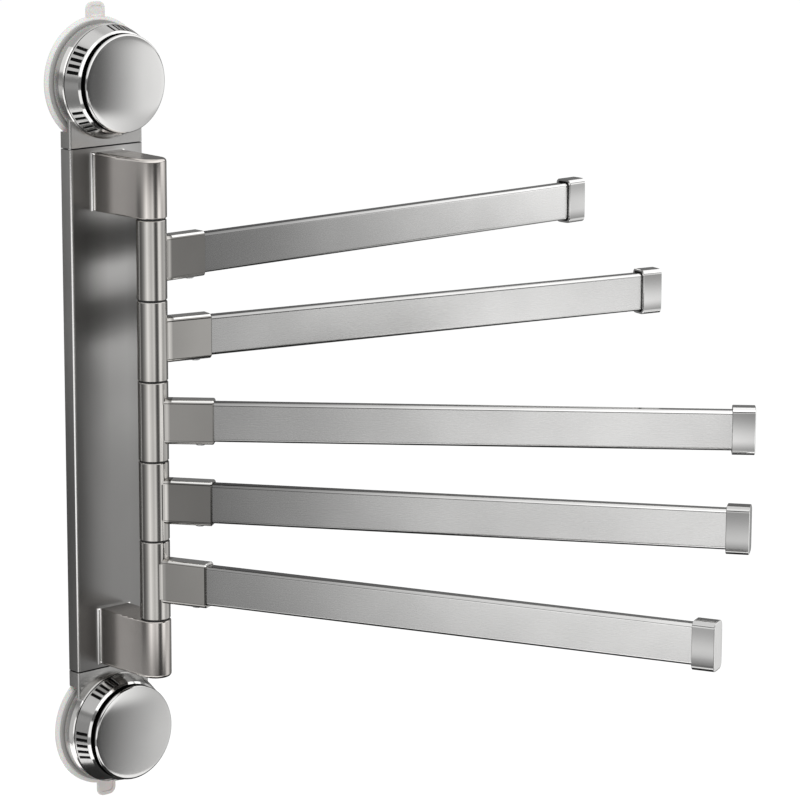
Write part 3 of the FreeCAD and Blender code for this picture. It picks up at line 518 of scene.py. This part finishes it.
# ---------------------------------------------------------------- end caps
# Chromed caps with a little crown on their sides and a soft outer end, pushed over the bars.
# Each cap has a painted shade of its own, its sides have painted shade towards the upper and
# lower edges, and the gap round the bar is painted black as painted shade.
CAP_START, CAP_END = 0.3529, 0.3673
CAP_HALF_THICKNESS, CAP_HALF_HEIGHT = 0.0068, 0.0147
CAP_CORNER, CAP_CROWN, CAP_TOP_CROWN = 0.0030, 0.00012, 0.00005
CAP_MOUTH_BEVEL, CAP_END_ROUND, CAP_END_CROWN = 0.0003, 0.0007, 0.0002
CAP_SIDE_STEPS, CAP_CORNER_STEPS, CAP_END_STEPS, CAP_SHARP_ANGLE = 8, 10, 5, 32
MOUTH_INNER, MOUTH_OUTER = (0.8, 0.91), (0.95, 0.975)  # shares of the cap's width and height
CAP_END_NARROWING = 0.1
POCKET_HALF_THICKNESS, POCKET_HALF_HEIGHT, POCKET_DEPTH = 0.0046, 0.01245, 0.003
FLAT_SIDE_FROM, FLAT_SIDE_TO = 0.0114, 0.0118
SHADE_ABOVE, SHADE_BELOW, SHADE_SHARE = (-0.006, 0.012), (0.005, 0.0125), 0.75  # from the cap's middle
CAP_SIDE_PAINTED_SHADE, CAP_MOUTH_SHADE, CAP_FACE = (0.22, 0.219, 0.216), (0.03, 0.03, 0.03), (0.9, 0.895, 0.885)
CAP_CHROME = (1.0, 0.995, 0.985)
CAP_PAINTED_LEVELS = (0.85, 0.9, 0.95, 0.62, 0.6)
# Painted shade: the pocket and the rear face round the bar are painted near black.
cap_mouth_shade = ground_metal("cap_mouth_shade", CAP_MOUTH_SHADE, roughness=0.5, grain="Z")
cap_face = ground_metal("cap_face", CAP_FACE, roughness=0.2, grain="Z", scratch=0.01)


def cap_section():
    """A quarter of the cap's outline as (across, up): a crowned side, a round corner and the top."""
    corner_up = CAP_HALF_HEIGHT - CAP_TOP_CROWN - CAP_CORNER
    tilt = math.atan(2 * CAP_CROWN / CAP_HALF_HEIGHT)
    side_up = corner_up + CAP_CORNER * math.sin(tilt)
    corner_across = CAP_HALF_THICKNESS - CAP_CROWN - CAP_CORNER * math.cos(tilt)
    quarter = []
    for step in range(CAP_SIDE_STEPS):
        share = step / CAP_SIDE_STEPS
        quarter.append((CAP_HALF_THICKNESS - CAP_CROWN * share ** 2, side_up * share))
    for step in range(CAP_CORNER_STEPS + 1):
        bend = tilt + (math.pi / 2 - tilt) * step / CAP_CORNER_STEPS
        across, up = CAP_CORNER * math.cos(bend), CAP_CORNER * math.sin(bend)
        quarter.append((corner_across + across, corner_up + up))
    for left in (2 / 3, 1 / 3):
        quarter.append((corner_across * left, CAP_HALF_HEIGHT - CAP_TOP_CROWN * left ** 2))
    return quarter + [(0.0, CAP_HALF_HEIGHT)]


def moulded_cap(name, turn, height, *materials):
    """An end cap with crowned sides, a soft outer end and an open pocket over the bar.

    A station is a distance from the spindle, and the section's share of its width and height."""
    quarter = cap_section()
    outline = quarter[:-1]
    outline += [(-across, up) for across, up in reversed(quarter)][:-1]
    outline += [(-across, -up) for across, up in quarter][:-1]
    outline += [(across, -up) for across, up in reversed(quarter)][:-1]
    pocket = (POCKET_HALF_THICKNESS / CAP_HALF_THICKNESS, POCKET_HALF_HEIGHT / CAP_HALF_HEIGHT)
    stations = [(CAP_START + POCKET_DEPTH, pocket), (CAP_START, pocket), (CAP_START, MOUTH_INNER)]
    mouth = len(stations) - 1
    stations += [(CAP_START, MOUTH_OUTER), (CAP_START + CAP_MOUTH_BEVEL, (1, 1))]
    stations.append((CAP_END - CAP_END_ROUND, (1, 1)))
    side_end = len(stations)
    for step in range(1, CAP_END_STEPS + 1):
        bend = math.radians(90 * step / CAP_END_STEPS)
        share = 1 - CAP_END_NARROWING * (1 - math.cos(bend))
        stations.append((CAP_END - CAP_END_ROUND * (1 - math.sin(bend)) - CAP_END_CROWN, (share, share)))
    stations += [(CAP_END - CAP_END_CROWN / 2, (0.6, 0.6)), (CAP_END - CAP_END_CROWN / 10, (0.3, 0.3))]
    shape = bmesh.new()
    rings = [
        [shape.verts.new((along, wide * across, tall * up)) for across, up in outline]
        for along, (wide, tall) in stations
    ]
    skin_rings(
        shape, rings, (CAP_END, 0, 0), lambda band: 1 if band < mouth else 2 if band > side_end else 0)
    bmesh.ops.recalc_face_normals(shape, faces=shape.faces)
    swung = Matrix.Translation((0, -SPINDLE_OFFSET, height)) @ Matrix.Rotation(turn, 4, "Z")
    bmesh.ops.transform(shape, verts=shape.verts, matrix=swung)
    return finish_piece(name, shape, CAP_SHARP_ANGLE, *materials)


def paint_cap_shade(material, middle):
    """Paints shade on a cap's ground side, darker towards its upper and lower edges than at its middle."""
    tree = material.node_tree
    up = axes(tree)[2]
    above = combine(tree, up, middle, "SUBTRACT")
    below = combine(tree, above, -1.0)
    on_side = opposite(tree, between(tree, away_from(tree, up, middle), FLAT_SIDE_FROM, FLAT_SIDE_TO))
    for height, soft in ((above, SHADE_ABOVE), (below, SHADE_BELOW)):
        edge = combine(tree, between(tree, height, *soft), on_side)
        rework(material, combine(tree, edge, SHADE_SHARE), CAP_SIDE_PAINTED_SHADE, roughness=0.16)


for number, (angle, cap_painted_level) in enumerate(zip(ARM_ANGLES, CAP_PAINTED_LEVELS), 1):
    prefix = "arm_%d_" % number
    turn = math.radians(angle)
    # Painted shade: each cap is painted lighter or darker as a whole, by an amount of its own.
    cap_colour = tuple(cap_painted_level * part for part in CAP_CHROME)
    cap_metal = ground_metal(
        prefix + "cap_metal", cap_colour, roughness=0.1, grain="X", turn=turn, scratch=0.0)
    # Painted shade on the cap's sides towards their upper and lower edges.
    paint_cap_shade(cap_metal, middle_height(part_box(prefix + "bar")))
    soft_cap = moulded_cap(
        prefix + "soft_cap", turn, middle_height(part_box(prefix + "cap")), cap_metal, cap_mouth_shade, cap_face)
    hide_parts(prefix + "cap")
    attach(soft_cap, "arm_%d" % number)

# ---------------------------------------------------------------- floor
# A plain white floor well below the rack, which hangs on a wall that isn't shown. Seen from
# below it is clear, and it keeps the rack's shadow.
FLOOR_HEIGHT, FLOOR_SIZE = -0.9, 40
FLOOR_GREY, FLOOR_GLOW, FLOOR_ROUGHNESS = (0.85, 0.85, 0.85, 1), (0.5, 0.5, 0.5, 1), 0.9


def shows_background(tree):
    """1 for the rays that show the white background: from the camera, in gloss and through glass."""
    rays = add(tree, "ShaderNodeLightPath").outputs
    seen = combine(tree, rays["Is Camera Ray"], rays["Is Glossy Ray"], "MAXIMUM")
    return combine(tree, seen, rays["Is Transmission Ray"], "MAXIMUM")


bpy.ops.mesh.primitive_plane_add(size=FLOOR_SIZE, location=(0, 0, FLOOR_HEIGHT))
floor = bpy.context.object
floor.name = "floor"
floor_paint, tree, shader = new_material("floor_paint")
shader.inputs["Base Color"].default_value = FLOOR_GREY
shader.inputs["Roughness"].default_value = FLOOR_ROUGHNESS
shader.inputs["Specular IOR Level"].default_value = 0.0
glow = add(tree, "ShaderNodeEmission")
glow.inputs["Color"].default_value = FLOOR_GLOW
tree.links.new(shows_background(tree), glow.inputs["Strength"])
both = add(tree, "ShaderNodeAddShader")
tree.links.new(glow.outputs[0], both.inputs[0])
tree.links.new(shader.outputs[0], both.inputs[1])
side = add(tree, "ShaderNodeNewGeometry")
clear = add(tree, "ShaderNodeBsdfTransparent")
faced = add(tree, "ShaderNodeMixShader")
tree.links.new(side.outputs["Backfacing"], faced.inputs["Fac"])
tree.links.new(both.outputs[0], faced.inputs[1])
tree.links.new(clear.outputs[0], faced.inputs[2])
tree.links.new(faced.outputs[0], tree.nodes["Material Output"].inputs["Surface"])
floor.data.materials.append(floor_paint)

# ---------------------------------------------------------------- light tent
# A round tent of pale panels and dark flags about the spindle, seen only in the metal. Each
# ring gives its brightness at one height as (angle from the camera's side, level) pairs.
TENT_RADIUS, TENT_FOOT, TENT_TOP, TENT_SIDES = 0.9, -0.82, 1.6, 128
TENT_MIDDLE = (TENT_TOP + TENT_FOOT) / 2
CAMERA_SIDE = -132.1
RING_FADE = 0.02  # over which one ring goes over into the next, up and down
UPPER_KNOB_RING = [
    (-165, 0.35), (-142, 0.35), (-128, 0.1), (-120, 0.1), (-90, 0.4), (-70, 0.4), (-45, 0.4), (-25, 0.35),
    (-8, 0.15), (5, 0.1), (20, 0.08), (69, 0.08), (75, 0.16), (79, 0.47), (84, 0.9), (90, 1.1), (105, 1.15),
    (120, 0.7), (140, 0.35), (165, 0.35)]
SLEEVE_RING = [
    (-165, 0.35), (-142, 0.35), (-128, 0.1), (-100, 0.1), (-75, 0.18), (-55, 0.45), (-29, 1.35), (-14, 1.0),
    (0, 0.8), (18, 1.05), (28, 0.25), (40, 0.08), (50, 0.35), (58, 1.3), (72, 1.3), (84, 0.7), (97, 0.6),
    (107, 0.75), (120, 0.75), (135, 0.2), (150, 0.3), (165, 0.35)]
LOWER_KNOB_RING = [
    (-165, 0.35), (-142, 0.35), (-128, 0.08), (-120, 0.06), (-90, 0.3), (-60, 0.3), (-35, 0.35),
    (-20, 0.35), (-5, 0.25), (8, 0.15), (20, 0.05), (68, 0.06), (73, 0.13), (80, 0.43), (86, 0.69),
    (94, 0.83), (105, 0.85), (120, 0.4), (140, 0.15), (165, 0.35)]
HIGH_RING = [
    (-165, 0.35), (-142, 0.35), (-128, 0.1), (-100, 0.2), (-60, 0.25), (0, 0.2), (60, 0.2), (84, 0.35),
    (100, 0.4), (120, 0.2), (165, 0.35)]
OVERHEAD_RING = [(-165, 0.6), (-120, 0.7), (-60, 0.75), (0, 1.3), (90, 1.4), (165, 1.0)]
RINGS_ABOVE = ((-0.6, SLEEVE_RING), (-0.19, UPPER_KNOB_RING), (0.0, HIGH_RING), (0.14, OVERHEAD_RING))


def seen_in_metal_only(piece):
    """Keeps a piece of the studio out of every view but its mirror image."""
    for ray in ("camera", "diffuse", "shadow", "transmission"):
        setattr(piece, "visible_" + ray, False)


def glowing_cloth(name):
    """Cloth that glows by itself and lights nothing, with the node that sets its glow."""
    material, tree, shader = new_material(name)
    material.cycles.emission_sampling = "NONE"
    tree.nodes.remove(shader)
    glow = add(tree, "ShaderNodeEmission")
    tree.links.new(glow.outputs[0], tree.nodes["Material Output"].inputs["Surface"])
    return material, tree, glow


def tent_ring(tree, round_about, levels):
    """The tent's brightness round one height, joined where the ramp's two ends meet."""
    stops = sorted((((CAMERA_SIDE + angle + 180) % 360) / 360, level) for angle, level in levels)
    before, after = stops[-1], stops[0]
    gap = after[0] + 1 - before[0]
    joined = before[1] + (after[1] - before[1]) * (1 - before[0]) / gap
    return ramp(tree, round_about, [(0.0, joined)] + stops + [(1.0, joined)], "LINEAR")


bpy.ops.mesh.primitive_cylinder_add(
    vertices=TENT_SIDES, radius=TENT_RADIUS, depth=TENT_TOP - TENT_FOOT, end_fill_type="NOTHING",
    location=(0, -SPINDLE_OFFSET, TENT_MIDDLE),
)
tent = bpy.context.object
tent.name = "tent"
seen_in_metal_only(tent)
tent_cloth, tree, glow = glowing_cloth("tent_cloth")
x, y, z = axes(tree)
round_about = rescale(tree, combine(tree, y, x, "ARCTAN2"), (-math.pi, math.pi))
light = tent_ring(tree, round_about, LOWER_KNOB_RING)
for height, levels in RINGS_ABOVE:
    edge = height - TENT_MIDDLE
    mixed = add(tree, "ShaderNodeMix", data_type="RGBA")
    tree.links.new(between(tree, z, edge - RING_FADE, edge + RING_FADE), mixed.inputs["Factor"])
    tree.links.new(light, mixed.inputs["A"])
    tree.links.new(tent_ring(tree, round_about, levels), mixed.inputs["B"])
    light = mixed.outputs["Result"]
tree.links.new(light, glow.inputs["Color"])
tent.data.materials.append(tent_cloth)

# ---------------------------------------------------------------- sheet, mat and strip
# Three flat cloths inside the tent, mirrored in the metal alone: a dark grey sheet just
# behind the wall's face, a black mat below the rack, and a narrow grey strip on its left.
SHEET_LEFT, SHEET_RIGHT, SHEET_FOOT, SHEET_TOP, SHEET_BEHIND = 0.03, 0.65, -0.4, 0.08, 0.03
STRIP_LEFT, STRIP_RIGHT, STRIP_FOOT, STRIP_TOP, STRIP_BEHIND = -0.106, -0.074, -0.46, -0.01, 0.05
MAT_HEIGHT, MAT_NEAR, MAT_FAR, MAT_LEFT, MAT_RIGHT = -0.88, -0.42, 1.0, -0.3, 0.9
SHEET_GREY, MAT_GREY, STRIP_GREY = 0.17, 0.03, 0.48
AHEAD, RIGHT = Vector((0.671, 0.742, 0)), Vector((0.742, -0.671, 0))  # as the camera looks


def flat_cloth(name, corners, cloth_name, level):
    """A flat cloth between four corners, which shows in the metal at one level."""
    mesh = bpy.data.meshes.new(name)
    mesh.from_pydata([tuple(corner) for corner in corners], [], [(0, 1, 2, 3)])
    piece = bpy.data.objects.new(name, mesh)
    bpy.context.scene.collection.objects.link(piece)
    cloth, _, glow = glowing_cloth(cloth_name)
    glow.inputs["Color"].default_value = (level, level, level, 1)
    mesh.materials.append(cloth)
    seen_in_metal_only(piece)
    return piece


def hung(left, right, foot, top, behind):
    """The corners of a cloth that hangs flat behind the wall's face."""
    return [(left, behind, foot), (right, behind, foot), (right, behind, top), (left, behind, top)]


sheet_corners = hung(SHEET_LEFT, SHEET_RIGHT, SHEET_FOOT, SHEET_TOP, SHEET_BEHIND)
sheet = flat_cloth("black_sheet", sheet_corners, "sheet_cloth", SHEET_GREY)
mat_sides = ((MAT_NEAR, MAT_LEFT), (MAT_NEAR, MAT_RIGHT), (MAT_FAR, MAT_RIGHT), (MAT_FAR, MAT_LEFT))
mat_corners = [Vector((0, 0, MAT_HEIGHT)) + AHEAD * ahead + RIGHT * aside for ahead, aside in mat_sides]
mat = flat_cloth("black_mat", mat_corners, "mat_cloth", MAT_GREY)
strip_corners = hung(STRIP_LEFT, STRIP_RIGHT, STRIP_FOOT, STRIP_TOP, STRIP_BEHIND)
strip = flat_cloth("side_strip", strip_corners, "strip_cloth", STRIP_GREY)

# ---------------------------------------------------------------- world and lamp
# A white world, a little dimmer as light than as background, and one soft round lamp from the
# front left, for everything that isn't metal.
WORLD_LIGHT, WORLD_SHOWN = 0.6, 1.0
LAMP_WIDTH, LAMP_POWER = 1.4, 14
LAMP_PLACE, LAMP_TARGET = (-0.7, -1.0, 1.1), Vector((0.1, -0.1, -0.25))
world = bpy.data.worlds.new("studio")
bpy.context.scene.world = world
world.use_nodes = True
tree = world.node_tree
sky = tree.nodes["Background"]
sky.inputs["Color"].default_value = (1, 1, 1, 1)
strength = rescale(tree, shows_background(tree), (0.0, 1.0), (WORLD_LIGHT, WORLD_SHOWN))
tree.links.new(strength, sky.inputs["Strength"])
lamp = bpy.data.lights.new("soft_lamp", "AREA")
lamp.shape = "DISK"
lamp.size = LAMP_WIDTH
lamp.energy = LAMP_POWER
soft_lamp = bpy.data.objects.new("soft_lamp", lamp)
soft_lamp.location = LAMP_PLACE
soft_lamp.rotation_euler = (LAMP_TARGET - soft_lamp.location).to_track_quat("-Z", "Y").to_euler()
soft_lamp.visible_camera = False
soft_lamp.visible_glossy = False
bpy.context.scene.collection.objects.link(soft_lamp)

# ---------------------------------------------------------------- camera
# A long lens from the front left, a little above the rack and looking slightly down, which
# gives the photograph's flat perspective.
CAMERA_PLACE = (-1.3365, -1.7560, 0.2621)
CAMERA_YAW, CAMERA_PITCH, CAMERA_ROLL = (math.radians(angle) for angle in (42.134, -11.863, 0.176))
SENSOR_WIDTH, FOCAL_LENGTH = 36, 162.37
lens = bpy.data.cameras.new("camera")
lens.sensor_width = SENSOR_WIDTH
lens.lens = FOCAL_LENGTH
camera = bpy.data.objects.new("camera", lens)
heading = Matrix.Rotation(-CAMERA_YAW, 4, "Z") @ Matrix.Rotation(math.pi / 2 + CAMERA_PITCH, 4, "X")
camera.matrix_world = Matrix.Translation(CAMERA_PLACE) @ heading @ Matrix.Rotation(CAMERA_ROLL, 4, "Z")
bpy.context.scene.collection.objects.link(camera)
bpy.context.scene.camera = camera
bpy.context.scene.view_settings.view_transform = "Standard"
